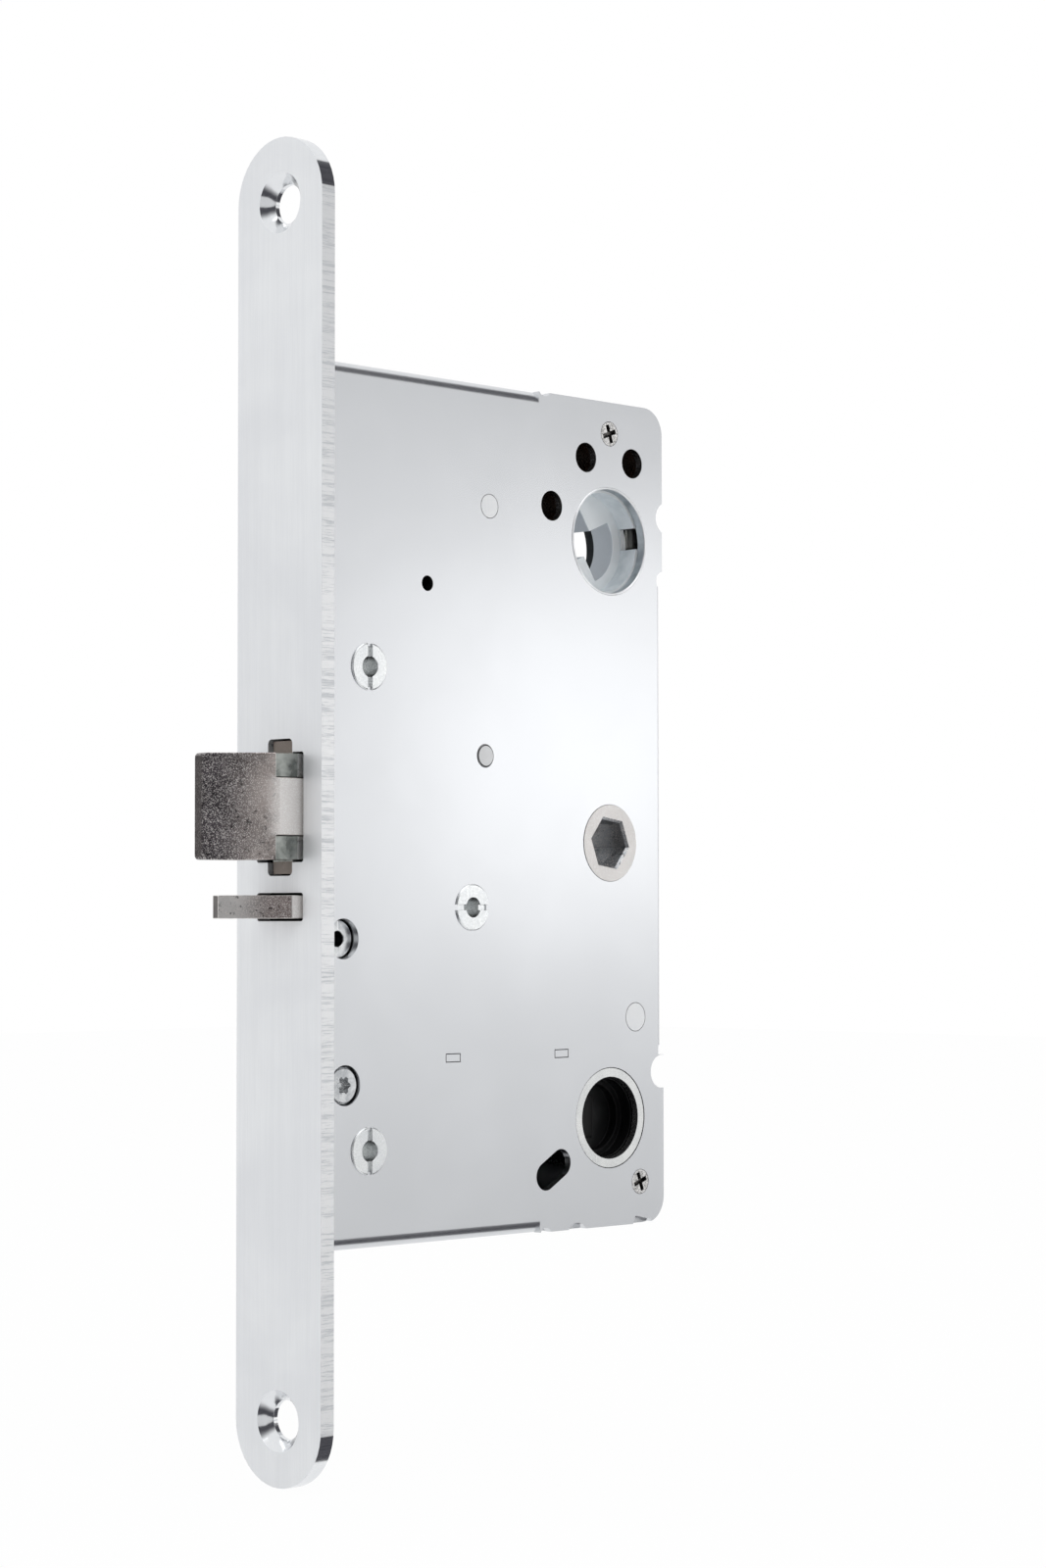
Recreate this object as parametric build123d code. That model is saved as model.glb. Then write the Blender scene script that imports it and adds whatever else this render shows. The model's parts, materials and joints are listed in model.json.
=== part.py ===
from build123d import *
import math
import os

# Panic mortise lock. Millimetres. X runs into the door from the forend's front face, Y runs across the door
# (the cover is on the -Y side) and Z is up. The origin is the centre of the forend's front face.

# Forend: the strip that shows in the door's edge
forend_length = 235.0
forend_width = 22.0
forend_thickness = 3.0
screw_end_distance = 11.5
countersink_radius = 5.35
countersink_step_radius = 4.05
countersink_step_depth = 1.25
countersink_end = 2.1
screw_hole_radius = 3.45
slot_shift = -0.3
slot_corner = 0.5
latch_slot_width = 12.1
latch_slot_height = 19.1
ear_width = 6.3
ear_height = 2.35
ear_corner = 0.9
trigger_slot_width = 11.9
trigger_slot_height = 4.9
trigger_drop = 17.3

# Case: two sheet shells around the works. A size whose name ends in rear is an X from the backset line,
# which runs through the follower and both hubs, with behind as plus
case_thickness = 15.0
sheet = 1.5
case_top = 78.3
case_bottom = -76.9
case_rear = 15.4
case_corner = 5.0
shell_edge_radius = 1.4
cover_back_step = 0.55
cover_bend_radius = 2.2
fold_rear = -19.1
relief_width = 3.2
relief_depth = 0.8
recess_depth = 1.45
recess_top = 44.5
recess_bottom = -45.2
wall_gap_top = 60.5
wall_gap_bottom = -51.8
wall_step = 1.7
wall_cut = 2.6
slanted_notch = ((-9.7, -1.0), (-8.5, 1.5), (-4.3, 0.7), (-3.5, -1.0))
fit_gap = 0.3
running_gap = 0.08

# Places on the case's side
backset = 76.5
follower_z = -5.1
cylinder_z = 51.9
hub_z = -56.65
fixing_circle_radius = 16.6
fixing_hole_radius = 2.8
fixing_pair_angle = 22.6
fixing_side_angle = 161.0
fixing_sleeve_wall = 0.5
radial_slot_angle = 210.0
radial_slot_start = 15.6
radial_slot_end = 20.1
radial_slot_radius = 2.6
post_x = 14.4
upper_post_z = 24.9
lower_post_z = -59.9
middle_post_rear = -36.6
middle_post_z = -17.3
lever_pin_rear = -33.2
lever_pin_z = 10.2
peep_hole_x = 28.7
peep_hole_z = 40.6
peep_hole_radius = 1.4
upper_screw_rear = 0.1
upper_screw_z = 72.3
lower_screw_rear = 8.2
lower_screw_z = -69.0
upper_rivet_rear = -32.05
upper_rivet_z = 55.8
lower_rivet_rear = 7.0
lower_rivet_z = -37.9
bush_x = 8.4
bush_z = -22.85
forend_screw_x = 8.8
forend_screw_z = -48.3

# Fasteners
post_flange_radius = 4.2
post_barrel_radius = 3.6
post_bore_radius = 1.82
post_flange_height = 0.35
post_slot_width = 1.0
post_slot_depth = 0.6
cover_screw_radius = 2.35
recess_width = 0.7
recess_length = 3.4
recess_sink = 0.9
recess_turn = 20.0
screw_head_rim = 0.5
screw_shank_radius = 1.5
screw_post_radius = 4.3
rivet_body_radius = 2.0
upper_rivet_radius = 2.25
lower_rivet_radius = 2.75
lever_pin_radius = 2.15
lever_pin_height = 0.2
bush_flange_radius = 3.27
bush_shank_radius = 2.0
bush_bore_radius = 1.35
access_hole_radius = 3.55
forend_screw_head_radius = 3.3
forend_screw_sink = 0.35
lobe_circle_radius = 1.15
lobe_radius = 0.42
lobe_sink = 1.2
bracket_sheet = 1.8
bracket_depth = 10.0
bracket_half_width = 5.3
bracket_top = -19.75
bracket_bottom = -56.0

# Latch
latch_throw = 14.3
latch_height = 18.4
latch_width = 11.4
latch_tip_flat = 1.9
latch_corner = 0.8
prong_height = 4.0
prong_reach = 5.0
prong_gap = 0.25
yoke_width = 11.2
prong_bevel_run = 3.7
prong_bevel = 0.9
yoke_back = 16.0
yoke_mouth = 9.3
head_pin_x = 5.3
neck_end = 9.0
wing_front = 0.7
wing_length = 5.4
tail_thickness = 3.0
tail_half_height = 4.0
tail_end_rear = -23.5
tail_leg_rear = -29.5
tail_head_top = 19.0
tail_head_bottom = 15.7
tail_lug_bottom = 11.4
tail_lug_width = 2.2
tail_root = 10.5
tail_corner = 0.9
cross_pin_radius = 1.2

# Trigger bolt
trigger_throw = 10.2
trigger_height = 4.0
trigger_width = 11.2
trigger_tip_flat = 1.4
trigger_bevel_end = -1.9
trigger_body_back = 12.0
finger_start = 4.0
finger_top = -10.4
finger_height = 3.0
finger_corner = 0.6
side_layer_near = -5.4
side_layer_far = -3.2

# Follower
hex_corner_radius = 4.8
hex_turn = -8.5
hex_chamfer = 0.45
follower_boss_radius = 7.2
follower_body_radius = 8.2
follower_proud = 0.1
arm_radius = 18.7
arm_tip_radius = 2.0
arm_neck_radius = 1.3
arm_root_radius = 4.5
follower_turn = 45.0
spring_arm_radius = 11.0
spring_arm_angle = 8.0
spring_arm_tip = 1.7

# Blocking lever
lever_foot_radius = 21.8
lever_foot_tip = 1.8
lever_hub_radius = 4.2
lever_turn = 26.5
lever_elbow_rear = -45.5
lever_elbow_z = 19.5
lever_elbow_radius = 2.4
lever_tooth_rear = -53.5
lever_tooth_z = 22.0
lever_tooth_radius = 2.0

# Cylinder drum and the bar that it drives
collar_lap = 0.35
collar_wall = 0.475
collar_depth = 1.75
collar_proud = 0.1
drum_outer_radius = 10.6
drum_wall = 1.25
drum_ledge_depth = 5.85
drum_floor_depth = 10.85
drum_ledge_width = 2.05
tooth_tip_radius = 2.6
tooth_middle = 73.0
tooth_span = 102.0
tooth_count = 2
window_height = 3.95
window_lift = 1.37
window_sill = 0.2
nose_reach = 2.8
nose_tip_radius = 1.5
nose_neck = 1.6
nose_clearance = 1.0
drum_turn = 40.0
fork_half_gap = 1.9
fork_leg = 2.2
key_bar_rear = -42.5
key_bar_height = 6.0
key_finger_bottom = 15.0
key_leg_clearance = 1.1
guide_pin_radius = 1.2
guide_head_radius = 2.4
guide_head_thickness = 0.8
guide_pins_rear = (-28.5, -12.5)
detent_wire_radius = 0.6
detent_wire_depth = 8.2
detent_wire_length = 10.6
detent_wire_end = 0.5

# Lower hub and the bar that it drives
ring_lap = 0.95
ring_bore_clearance = 0.23
ring_sink = 0.1
hub_outer_radius = 8.5
hub_wall = 1.2
hub_mouth_depth = 2.6
hub_step_width = 1.1
hub_web = 3.0
hub_slot_height = 8.0
hub_slot_width = 2.6
hub_nose_reach = 2.5
hub_turn = 45.0
lock_bar_rear = -42.5
lock_bar_height = 2.85
lock_nose_width = 4.0
lock_nose_top = -24.0
lock_leg_clearance = 0.55
lock_leg = 2.0
shelf_start_rear = -46.0
shelf_end_rear = -9.0
shelf_sheet = 1.6
shelf_lip_height = 3.4
shelf_lip_inner = 1.8
tab_width = 3.7
tabs_rear = (-41.4, -13.3)

# Springs
spring_wire_radius = 0.35
spring_runs = 8
latch_spring_radius = 1.85
latch_spring_z = -6.7
latch_spring_turns = 7
trigger_spring_radius = 1.5
trigger_spring_turns = 8
follower_spring_radius = 1.85
follower_spring_rear = 10.8
follower_spring_turns = 7
lever_spring_radius = 2.8
lever_spring_turns = 3
spring_tab_rear = -36.5
spring_tab_height = 4.6
spring_seat_top = -30.5

# Sizes that follow from those above
screw_spacing = forend_length - 2 * screw_end_distance
case_back = backset + case_rear
cover_back = case_back - cover_back_step
fold_end = backset + fold_rear
middle_post_x = backset + middle_post_rear
lever_pin_x = backset + lever_pin_rear
lever_elbow_x = backset + lever_elbow_rear
lever_tooth_x = backset + lever_tooth_rear
tail_right = backset + tail_end_rear
tail_leg_left = backset + tail_leg_rear
key_bar_left = backset + key_bar_rear
guide_pin_places = [backset + rear for rear in guide_pins_rear]
lock_bar_left = backset + lock_bar_rear
shelf_left = backset + shelf_start_rear
shelf_right = backset + shelf_end_rear
tab_places = [backset + rear for rear in tabs_rear]
follower_spring_x = backset + follower_spring_rear
spring_tab_x = backset + spring_tab_rear
collar_outer_radius = drum_outer_radius - collar_lap
collar_bore_radius = collar_outer_radius - collar_wall
drum_bore_radius = drum_outer_radius - drum_wall
drum_floor_radius = drum_bore_radius - drum_ledge_width
nose_radius = drum_outer_radius + nose_reach
key_bar_bottom = cylinder_z - nose_radius - nose_tip_radius - nose_clearance - key_bar_height
key_leg_top = cylinder_z - drum_outer_radius - key_leg_clearance
hub_mouth_radius = hub_outer_radius - hub_wall
hub_step_radius = hub_mouth_radius - hub_step_width
hub_nose_radius = hub_outer_radius + hub_nose_reach
ring_outer_radius = hub_outer_radius + ring_lap
ring_bore_radius = hub_mouth_radius + ring_bore_clearance
shelf_top = hub_z + hub_nose_radius + nose_tip_radius + nose_clearance - fit_gap
lock_leg_bottom = hub_z + hub_outer_radius + lock_leg_clearance
near_face = -case_thickness / 2
far_face = case_thickness / 2
near_inside = near_face + sheet
far_inside = far_face - sheet
cavity_half = case_thickness / 2 - sheet
hex_room = follower_boss_radius + running_gap
key_travel = 2 * nose_radius * math.sin(math.radians(drum_turn / 2))
arm_rest_x = backset - arm_radius * math.sin(math.radians(follower_turn / 2))
tail_lug_left = arm_rest_x + arm_tip_radius + fit_gap
tail_lug_right = tail_lug_left + tail_lug_width
foot_rest_x = lever_pin_x - lever_foot_radius * math.sin(math.radians(lever_turn / 2))
foot_rest_z = lever_pin_z - lever_foot_radius * math.cos(math.radians(lever_turn / 2))
finger_end = foot_rest_x - lever_foot_tip - fit_gap
nose_rest_x = backset - nose_radius * math.sin(math.radians(drum_turn / 2))
hub_nose_rest_x = backset + hub_nose_radius * math.sin(math.radians(hub_turn / 2))
wall_face = case_back - sheet
trigger_z = -trigger_drop
tail_pin_x = (tail_root + yoke_back) / 2
key_guide_z = key_bar_bottom + key_bar_height / 2
screw_places = ((backset + upper_screw_rear, upper_screw_z), (backset + lower_screw_rear, lower_screw_z))
access_places = ((bush_x, bush_z), (forend_screw_x, forend_screw_z))
post_places = ((post_x, upper_post_z), (middle_post_x, middle_post_z), (post_x, lower_post_z))
rivet_places = ((backset + upper_rivet_rear, upper_rivet_z, upper_rivet_radius),
                (backset + lower_rivet_rear, lower_rivet_z, lower_rivet_radius))
edge_notches = ((cover_back + 1.25, 57.5, 3.0), (cover_back + 0.25, recess_top + 0.8, 1.9),
                (cover_back - 0.45, recess_bottom - 3.2, 3.15), (backset - 9.1, case_bottom - 1.7, 2.9))


def across(sketch, near, far):
    """Extrude a side-view sketch across the case from Y = near to Y = far."""
    return extrude(Plane.XZ.offset(-far) * sketch, amount=far - near)


def along(sketch, front, back):
    """Extrude a front-view sketch, drawn in Y and Z, from X = front to X = back."""
    return extrude(Plane.YZ.offset(front) * sketch, amount=back - front)


def disc(x, z, radius):
    return Pos(x, z) * Circle(radius)


def box(left, right, bottom, top):
    return Pos((left + right) / 2, (bottom + top) / 2) * Rectangle(right - left, top - bottom)


def hull(*discs):
    """The outline of a link: the tangent hull of its round ends."""
    return make_hull([edge for one in discs for edge in one.edges()])


def polar(x, z, radius, angle):
    turn = math.radians(angle)
    return x + radius * math.cos(turn), z + radius * math.sin(turn)


def spin_x(points, z):
    """A turned solid about a line along X at height z, from (x, radius) points."""
    return Pos(0, 0, z) * revolve(Plane.XZ * make_face(Polyline(*points, close=True)), Axis.X)


def spin_y(points, x, z):
    """A turned solid about a line along Y through (x, z), from (radius, y) points."""
    return Pos(x, 0, z) * revolve(make_face(Polyline(*points, close=True)), Axis.Y)


def coil(radius, length, turns):
    """A compression spring along +Z from the origin, its wire in short straight runs round the helix."""
    rise = length - 2 * spring_wire_radius
    steps = spring_runs * turns
    points = [(*polar(0, 0, radius, 360 * step / spring_runs), spring_wire_radius + rise * step / steps)
              for step in range(steps + 1)]
    path = Polyline(*points)
    start = Plane(origin=path @ 0, z_dir=path % 0)
    return sweep(start * RegularPolygon(spring_wire_radius, 6), path=path, transition=Transition.RIGHT)


def fixing_places():
    """The centres of the three trim fixing holes, on a circle round the cylinder."""
    angles = (90 - fixing_pair_angle, 90 + fixing_pair_angle, fixing_side_angle)
    return [polar(backset, cylinder_z, fixing_circle_radius, angle) for angle in angles]


def fixing_holes():
    """Trim fixing holes round the cylinder and the slanted slot beside the lower hub."""
    holes = Sketch() + [disc(x, z, fixing_hole_radius) for x, z in fixing_places()]
    ends = [disc(*polar(backset, hub_z, r, radial_slot_angle), radial_slot_radius)
            for r in (radial_slot_start, radial_slot_end)]
    return holes + hull(*ends)


def shared_holes():
    """Every hole that both shells have."""
    holes = fixing_holes() + disc(backset, follower_z, hex_room)
    holes += disc(backset, cylinder_z, collar_outer_radius)
    holes += disc(backset, hub_z, ring_outer_radius)
    for x, z in post_places:
        holes += disc(x, z, post_barrel_radius)
    for x, z, radius in rivet_places:
        holes += disc(x, z, radius)
    holes += disc(lever_pin_x, lever_pin_z, lever_pin_radius)
    return holes + shelf_tabs()


def shelf_tabs():
    """The side view of the two tabs by which the inner channel is staked into the shells."""
    return Sketch() + [box(x - tab_width / 2, x + tab_width / 2, shelf_top - shelf_sheet, shelf_top)
                       for x in tab_places]


def make_forend():
    plate = along(Rot(0, 0, 90) * SlotOverall(forend_length, forend_width), 0, forend_thickness)
    latch_slot = RectangleRounded(latch_slot_width, latch_slot_height, slot_corner)
    ears = RectangleRounded(ear_width, latch_slot_height + 2 * ear_height, ear_corner)
    trigger_slot = RectangleRounded(trigger_slot_width, trigger_slot_height, slot_corner)
    slots = Pos(slot_shift, 0) * (latch_slot + ears + Pos(0, trigger_z) * trigger_slot)
    plate -= along(slots, 0, forend_thickness)
    for side in (-1, 1):
        plate -= spin_x([(0, 0), (0, countersink_radius), (countersink_step_depth, countersink_step_radius),
                         (countersink_end, screw_hole_radius), (forend_thickness, screw_hole_radius),
                         (forend_thickness, 0)], side * screw_spacing / 2)
    return plate


def cover_outline():
    """The flat rear part of the cover, with the jig notches in its back and bottom edges."""
    plate = box(fold_end, cover_back, case_bottom, case_top)
    plate = fillet(plate.vertices().sort_by(Axis.X)[-2:], case_corner)
    plate -= box(cover_back - recess_depth, case_back, recess_bottom, recess_top)
    for x, z, radius in edge_notches:
        plate -= disc(x, z, radius)
    slanted = [(case_back + x, case_bottom + height) for x, height in slanted_notch]
    return plate - make_face(Polyline(*slanted, close=True))


def bent_block(inset, near, far):
    """The folded front part as a block, whose two near long edges carry the bend's radius."""
    block = across(box(forend_thickness, fold_end, case_bottom + inset, case_top - inset), near, far)
    bends = [edge for edge in block.edges().filter_by(Axis.X) if edge.center().Y < near + 0.01]
    return fillet(bends, cover_bend_radius - inset)


def make_cover_plate():
    front = bent_block(0, near_face, far_inside) - bent_block(sheet, near_inside, far_face)
    plate = front + across(cover_outline(), near_face, near_inside)
    relief_x = fold_end + relief_width / 2
    for edge_z in (case_bottom - relief_depth, case_top + relief_depth):
        plate -= across(disc(relief_x, edge_z, relief_width / 2), near_face, far_inside)
    holes = shared_holes() + disc(peep_hole_x, peep_hole_z, peep_hole_radius)
    for x, z in screw_places:
        holes += disc(x, z, cover_screw_radius)
    for x, z in access_places:
        holes += disc(x, z, access_hole_radius)
    return plate - across(holes, near_face, near_inside)


def make_case_pan():
    """The far shell: a tray with back, rear top and rear bottom walls and two lanced spring tabs."""
    outline = box(forend_thickness, case_back, case_bottom, case_top)
    outline = fillet(outline.vertices().sort_by(Axis.X)[-2:], case_corner)
    tray = across(outline, near_inside, far_face)
    rim = tray.faces().sort_by(Axis.Y)[-1].edges().sort_by(Axis.X)[1:]
    tray = fillet(rim, shell_edge_radius)
    room = box(0, wall_face, case_bottom + sheet, case_top - sheet)
    room = fillet(room.vertices().sort_by(Axis.X)[-2:], case_corner - sheet)
    tray -= across(room, near_inside, far_inside)
    wall_start = fold_end + relief_width
    tray -= across(box(0, wall_start, case_bottom, case_top), near_inside, far_inside)
    for low, high in ((recess_top, wall_gap_top), (wall_gap_bottom, recess_bottom + wall_step)):
        tray -= across(box(wall_face, case_back, low, high), near_inside, near_inside + wall_cut)
    tray -= across(shared_holes(), far_inside, far_face)
    tray -= across(guide_holes(), far_inside, far_face)
    tab_top = latch_spring_z + spring_tab_height / 2
    tabs = box(spring_tab_x, spring_tab_x + sheet, tab_top - spring_tab_height, tab_top)
    seat_reach = latch_spring_radius + spring_wire_radius
    tabs += box(follower_spring_x - seat_reach, wall_face, spring_seat_top - sheet, spring_seat_top)
    return tray + across(tabs, -seat_reach, far_inside)


def guide_holes():
    return Sketch() + [disc(x, key_guide_z, guide_pin_radius) for x in guide_pin_places]


def make_post(x, z, upright):
    """A through bush with a driver slot across its near flange."""
    flange_face = near_face - post_flange_height
    post = across(disc(x, z, post_barrel_radius), near_face, far_face)
    flange = across(disc(x, z, post_flange_radius), flange_face, near_face)
    post += chamfer(flange.edges().sort_by(Axis.Y)[0], post_flange_height / 2)
    slot = Rectangle(2 * post_flange_radius, post_slot_width)
    if upright:
        slot = Rot(0, 0, 90) * slot
    post -= across(Pos(x, z) * slot, flange_face, flange_face + post_slot_depth)
    return post - across(disc(x, z, post_bore_radius), flange_face, far_face)


def make_cover_screws():
    cross = Rectangle(recess_width, recess_length) + Rectangle(recess_length, recess_width)
    screws = []
    for x, z in screw_places:
        screw = spin_y([(0, near_face), (cover_screw_radius, near_face),
                        (cover_screw_radius, near_face + screw_head_rim),
                        (screw_shank_radius, near_inside), (screw_shank_radius, 0), (0, 0)], x, z)
        recess = Pos(x, z) * Rot(0, 0, recess_turn) * cross
        screws.append(screw - across(recess, near_face, near_face + recess_sink))
    return Compound(children=screws)


def make_screw_posts():
    """Two spacers, each with a flat where it would otherwise reach the case's wall."""
    room = box(0, wall_face - fit_gap, case_bottom + sheet + fit_gap, case_top - sheet - fit_gap)
    posts = []
    for x, z in screw_places:
        post = across(disc(x, z, screw_post_radius) & room, near_inside, far_inside)
        posts.append(post - across(disc(x, z, screw_shank_radius), near_inside, fit_gap))
    return Compound(children=posts)


def make_fixing_sleeves():
    """Three dark tubes that carry the trim screws through the case, clear of the works."""
    sleeves = []
    for x, z in fixing_places():
        ring = disc(x, z, fixing_hole_radius + fixing_sleeve_wall) - disc(x, z, fixing_hole_radius)
        sleeves.append(across(ring, near_inside, far_inside))
    return Compound(children=sleeves)


def make_case_rivets():
    rivets = []
    for x, z, head in rivet_places:
        rivet = across(disc(x, z, rivet_body_radius), near_inside, far_inside)
        rivet += across(disc(x, z, head), near_face, near_inside)
        rivets.append(rivet + across(disc(x, z, head), far_inside, far_face))
    return Compound(children=rivets)


def make_lever_pin():
    pin = across(disc(lever_pin_x, lever_pin_z, lever_pin_radius), near_face - lever_pin_height, far_face)
    return chamfer(pin.edges().filter_by(GeomType.CIRCLE).sort_by(Axis.Y)[0], lever_pin_height)


def make_forend_bracket():
    """A channel behind the forend, whose two lugs hold the bush and the six-lobe screw."""
    back = forend_thickness + bracket_depth
    channel = Pos((forend_thickness + back) / 2, 0) * Rectangle(bracket_depth, 2 * bracket_half_width)
    channel = fillet(channel.vertices().sort_by(Axis.X)[:2], bracket_sheet - fit_gap)
    channel -= Pos((forend_thickness + bracket_sheet + back) / 2, 0) * Rectangle(
        bracket_depth - bracket_sheet, 2 * (bracket_half_width - bracket_sheet))
    bracket = Pos(0, 0, bracket_bottom) * extrude(channel, amount=bracket_top - bracket_bottom)
    holes = disc(bush_x, bush_z, bush_shank_radius)
    holes += disc(forend_screw_x, forend_screw_z, screw_shank_radius)
    return bracket - across(holes, -bracket_half_width, bracket_half_width)


def make_forend_bush():
    face = -bracket_half_width
    bush = across(disc(bush_x, bush_z, bush_shank_radius), face, bracket_half_width)
    bush += across(disc(bush_x, bush_z, bush_flange_radius), near_inside, face)
    return bush - across(disc(bush_x, bush_z, bush_bore_radius), near_inside, bracket_half_width)


def make_forend_screw():
    face = near_face + forend_screw_sink
    head = across(disc(forend_screw_x, forend_screw_z, forend_screw_head_radius), face, -bracket_half_width)
    head = chamfer(head.edges().filter_by(GeomType.CIRCLE).sort_by(Axis.Y)[0], forend_screw_sink)
    shank = disc(forend_screw_x, forend_screw_z, screw_shank_radius)
    screw = head + across(shank, -bracket_half_width, bracket_half_width)
    socket = disc(forend_screw_x, forend_screw_z, lobe_circle_radius)
    for lobe in range(6):
        socket += disc(*polar(forend_screw_x, forend_screw_z, lobe_circle_radius, 60 * lobe), lobe_radius)
    return screw - across(socket, face, face + lobe_sink)


def make_collar(face, inner):
    """A thin ring round the cylinder hole, from the case's face to its inner end."""
    ring = disc(backset, cylinder_z, collar_outer_radius) - disc(backset, cylinder_z, collar_bore_radius)
    return across(ring, min(face, inner), max(face, inner))


def make_key_drum():
    """The drum behind the collar: bore, ledge, two-toothed floor, side window and driving nose."""
    ledge = near_face + drum_ledge_depth
    floor = near_face + drum_floor_depth
    mouth = near_face + collar_depth + running_gap
    drum = across(disc(backset, cylinder_z, drum_outer_radius), mouth, floor)
    drum -= across(disc(backset, cylinder_z, drum_bore_radius), mouth, ledge)
    opening = disc(backset, cylinder_z, drum_floor_radius)
    for tooth in range(tooth_count):
        opening -= floor_tooth(tooth_middle + 360 * tooth / tooth_count)
    drum -= across(opening, ledge, floor)
    window_z = cylinder_z + window_lift
    window = box(backset, backset + 2 * drum_outer_radius, window_z - window_height / 2,
                 window_z + window_height / 2)
    drum -= across(window, mouth, ledge - window_sill)
    rest = 270 - drum_turn / 2
    return drum + make_nose(cylinder_z, nose_radius, drum_outer_radius, rest)


def make_nose(z, reach, root, angle):
    """The round-ended driving nose of a drum or hub at height z, at an angle round it."""
    tip = disc(*polar(backset, z, reach, angle), nose_tip_radius)
    start = root - 2 * fit_gap
    middle = polar(backset, z, (reach + start) / 2, angle)
    neck = Pos(*middle) * Rot(0, 0, angle) * Rectangle(reach - start, nose_neck)
    return across(tip + neck, -tail_thickness / 2, tail_thickness / 2)


def floor_tooth(middle):
    """One tooth of the drum's floor: a wedge whose tip looks at the axis and whose sides pass the wall."""
    tip = polar(backset, cylinder_z, tooth_tip_radius, middle)
    corners = [tip]
    for turn in (-tooth_span / 2, 0, tooth_span / 2):
        corners.append(polar(*tip, 2 * drum_floor_radius, middle + turn))
    return make_face(Polyline(*corners, close=True))


def make_detent_wire():
    """An upright spring wire on the back wall, behind the drum's window, with rounded ends."""
    x = wall_face - detent_wire_radius
    wire = extrude(Circle(detent_wire_radius), amount=detent_wire_length)
    wire = fillet(wire.edges().filter_by(GeomType.CIRCLE), detent_wire_end)
    return Pos(x, near_face + detent_wire_depth, cylinder_z) * wire


def make_key_slide():
    """The bar that the drum's nose pushes: a fork above it and a finger below its left end."""
    bar_top = key_bar_bottom + key_bar_height
    right = nose_rest_x + fork_half_gap + fork_leg
    bar = box(key_bar_left, right, key_bar_bottom, bar_top)
    bar += box(key_bar_left, tail_leg_left - key_travel - fit_gap, key_finger_bottom, bar_top)
    for inner in (nose_rest_x - fork_half_gap - fork_leg, nose_rest_x + fork_half_gap):
        bar += box(inner, inner + fork_leg, key_bar_bottom, key_leg_top)
    half = guide_pin_radius + fit_gap
    for x in guide_pin_places:
        bar -= hull(disc(x, key_guide_z, half), disc(x - key_travel, key_guide_z, half))
    return across(bar, -tail_thickness / 2, tail_thickness / 2)


def make_slide_guides():
    head_far = -tail_thickness / 2 - fit_gap
    guides = []
    for x in guide_pin_places:
        pin = across(disc(x, key_guide_z, guide_pin_radius), head_far, far_face)
        head = across(disc(x, key_guide_z, guide_head_radius), head_far - guide_head_thickness, head_far)
        guides.append(pin + head)
    return Compound(children=guides)


def make_ring(near, far):
    ring = disc(backset, hub_z, ring_outer_radius) - disc(backset, hub_z, ring_bore_radius)
    return across(ring, near, far)


def make_lock_hub():
    """The plastic hub: stepped mouth, slotted web and a short driving nose."""
    side = cavity_half - running_gap
    hub = across(disc(backset, hub_z, hub_outer_radius), -side, side)
    for near, far in ((-side, -side + hub_mouth_depth), (side - hub_mouth_depth, side)):
        hub -= across(disc(backset, hub_z, hub_mouth_radius), near, far)
        hub -= across(disc(backset, hub_z, hub_step_radius), min(near, hub_web / 2), max(far, -hub_web / 2))
    hub -= across(Pos(backset, hub_z) * Rectangle(hub_slot_width, hub_slot_height), -side, side)
    return hub + make_nose(hub_z, hub_nose_radius, hub_outer_radius, 90 - hub_turn / 2)


def make_lock_slide():
    """The deadlocking bar: a fork over the hub's nose and an upright nose at its left end."""
    bottom = shelf_top + fit_gap
    right = hub_nose_rest_x + fork_half_gap + lock_leg
    bar = box(lock_bar_left, right, bottom, bottom + lock_bar_height)
    bar += box(lock_bar_left, lock_bar_left + lock_nose_width, bottom, lock_nose_top)
    for inner in (hub_nose_rest_x - fork_half_gap - lock_leg, hub_nose_rest_x + fork_half_gap):
        bar += box(inner, inner + lock_leg, lock_leg_bottom, bottom + lock_bar_height)
    return across(bar, -tail_thickness / 2, tail_thickness / 2)


def make_guide_shelf():
    """A channel across the case with two tabs staked through each shell."""
    channel = box(-cavity_half, cavity_half, shelf_top - shelf_sheet, shelf_top)
    for lip in (-shelf_lip_inner - shelf_sheet, shelf_lip_inner):
        channel += box(lip, lip + shelf_sheet, shelf_top - shelf_sheet, shelf_top + shelf_lip_height)
    return along(channel, shelf_left, shelf_right) + across(shelf_tabs(), near_face, far_face)


def make_latch_head():
    """The bolt head: one 45-degree bevel facing the cover, and a neck between the yoke's prongs."""
    half = latch_width / 2
    tip = -latch_throw
    bevel_run = latch_width - latch_tip_flat
    plan = make_face(Polyline((tip, half), (tip, half - latch_tip_flat), (tip + bevel_run, -half),
                              (neck_end, -half), (neck_end, half), close=True))
    head = Pos(0, 0, -latch_height / 2) * extrude(plan, amount=latch_height)
    tip_face = head.faces().sort_by(Axis.X)[0]
    tip_corners = [edge for edge in tip_face.edges() if abs(edge.center().Z) > latch_height / 2 - 0.1]
    head = fillet(tip_corners, latch_corner)
    notch_height = prong_height + prong_gap
    for side in (-1, 1):
        inner = side * (latch_height / 2 - notch_height)
        outer = side * latch_height
        notch = box(-prong_reach - prong_gap, yoke_back, min(inner, outer), max(inner, outer))
        head -= across(notch, -latch_width, latch_width)
    return head - Pos(head_pin_x, 0, 0) * Cylinder(cross_pin_radius, latch_height)


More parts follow.
